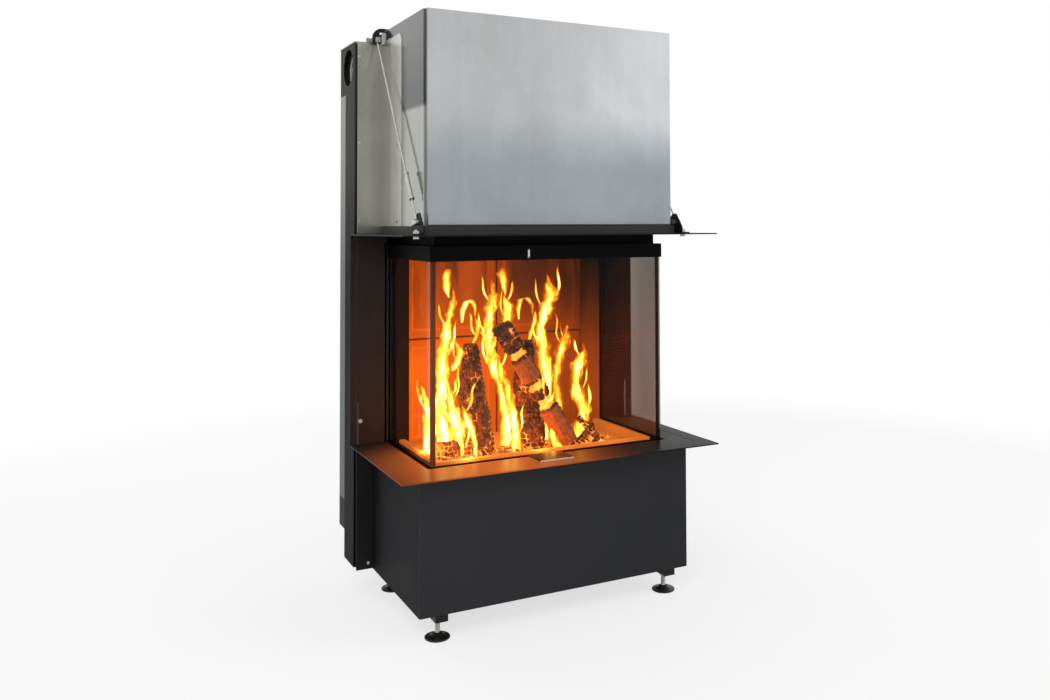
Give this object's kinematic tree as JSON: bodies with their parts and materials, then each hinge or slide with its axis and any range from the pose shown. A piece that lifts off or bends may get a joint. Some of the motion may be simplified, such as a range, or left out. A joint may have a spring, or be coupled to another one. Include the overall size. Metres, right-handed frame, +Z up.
{
  "type": "three-sided fireplace insert",
  "caption": "Fireplace insert with a three-sided glass door that rises into a galvanised hood between two counterweight columns, on a black plinth with levelling feet.",
  "frame": {"origin": "centre of the overall footprint, on the floor under the feet", "axes": "+X to the right of someone facing the fire, the fire faces -Y, +Z up"},
  "size_m": [0.826, 0.6, 1.435],
  "materials": {
    "base_casing": "matte",
    "galvanised": "satin zinc",
    "dark_steel": "satin",
    "black_steel": "matte",
    "plate_steel": "satin",
    "zinc": "zinc plated",
    "wire_rope": "stranded",
    "bright_steel": "polished edge",
    "pulley": "turned",
    "weight_iron": "rough",
    "chamotte": "matte fired clay",
    "vermiculite": "matte",
    "glass": "clear",
    "seal_rope": "knitted glass fibre",
    "charred_wood": "charred",
    "embers": "ash and embers"
  },
  "bodies": {
    "frame": {"base_front_panel": "base_casing", "base_side_rear_panels": "base_casing", "base_floor": "base_casing", "air_spigot": "galvanised", "foot_brackets": "black_steel", "lower_plate": "plate_steel", "upper_plate": "plate_steel", "upper_frame_band": "dark_steel", "hood_front_panel": "galvanised", "hood_side_panels": "galvanised", "hood_top_panel": "galvanised", "rear_casing": "galvanised", "hood_covers": "galvanised", "front_cladding": "black_steel", "guide_channels": "black_steel", "column_shells": "dark_steel", "column_heads": "dark_steel", "column_lids": "galvanised", "weight_housings": "galvanised", "column_foot_covers": "black_steel", "pulley_axles": "zinc", "cable_wraps": "wire_rope", "door_cables": "wire_rope", "lintel": "black_steel", "smoke_dome": "black_steel", "baffle_plate": "vermiculite", "flue_collar": "black_steel", "firebox_rear_wall": "black_steel", "cheeks": "black_steel", "back_lining": "chamotte", "firebox_pan": "black_steel", "pan_bearers": "black_steel", "hearth_blocks": "chamotte", "ember_bed": "embers", "firewood_logs": "charred_wood", "tie_rods": "zinc", "tie_clevises": "black_steel", "tie_arches": "black_steel", "valve_seat": "black_steel", "fasteners": "zinc"},
    "door": {"door_glass_front": "glass", "door_glass_left": "glass", "door_glass_right": "glass", "door_rails": "black_steel", "door_corner_strips": "black_steel", "door_stiles": "black_steel", "door_carriages": "black_steel", "door_catch": "bright_steel", "door_seals": "seal_rope"},
    "counterweight_left": {"counterweight_left": "weight_iron", "weight_cable_left": "wire_rope"},
    "counterweight_right": {"counterweight_right": "weight_iron", "weight_cable_right": "wire_rope"},
    "pulley_left": {"pulley_left": "pulley"},
    "pulley_right": {"pulley_right": "pulley"},
    "air_control": {"air_slider": "bright_steel"},
    "foot_front_left": {"foot_front_left": "black_steel"},
    "foot_front_right": {"foot_front_right": "black_steel"},
    "foot_rear_left": {"foot_rear_left": "black_steel"},
    "foot_rear_right": {"foot_rear_right": "black_steel"}
  },
  "joints": [
    {"name": "door_lift", "type": "slide", "parent": "frame", "child": "door", "axis": [0, 0, 1], "range_m": [0, 0.47], "deforming": ["door_cables"]},
    {"name": "weight_drop_left", "type": "slide", "parent": "frame", "child": "counterweight_left", "axis": [0, 0, 1], "range_m": [-0.47, 0], "deforming": ["weight_cable_left"]},
    {"name": "weight_drop_right", "type": "slide", "parent": "frame", "child": "counterweight_right", "axis": [0, 0, 1], "range_m": [-0.47, 0], "deforming": ["weight_cable_right"]},
    {"name": "pulley_turn_left", "type": "hinge", "parent": "frame", "child": "pulley_left", "pos_m": [-0.375, 0.22, 1.338], "axis": [1, 0, 0], "range_deg": [-481, 0]},
    {"name": "pulley_turn_right", "type": "hinge", "parent": "frame", "child": "pulley_right", "pos_m": [0.375, 0.22, 1.338], "axis": [1, 0, 0], "range_deg": [-481, 0]},
    {"name": "air_slide", "type": "slide", "parent": "frame", "child": "air_control", "axis": [1, 0, 0], "range_m": [-0.035, 0.085]},
    {"name": "level_front_left", "type": "slide", "parent": "frame", "child": "foot_front_left", "axis": [0, 0, 1], "range_m": [-0.03, 0]},
    {"name": "level_front_right", "type": "slide", "parent": "frame", "child": "foot_front_right", "axis": [0, 0, 1], "range_m": [-0.03, 0]},
    {"name": "level_rear_left", "type": "slide", "parent": "frame", "child": "foot_rear_left", "axis": [0, 0, 1], "range_m": [-0.03, 0]},
    {"name": "level_rear_right", "type": "slide", "parent": "frame", "child": "foot_rear_right", "axis": [0, 0, 1], "range_m": [-0.03, 0]}
  ],
  "couplings": [
    {"joint": "weight_drop_left", "follows": "door_lift", "ratio": -1},
    {"joint": "pulley_turn_left", "follows": "door_lift", "rad_per_m": -17.857},
    {"joint": "weight_drop_right", "follows": "door_lift", "ratio": -1},
    {"joint": "pulley_turn_right", "follows": "door_lift", "rad_per_m": -17.857}
  ]
}
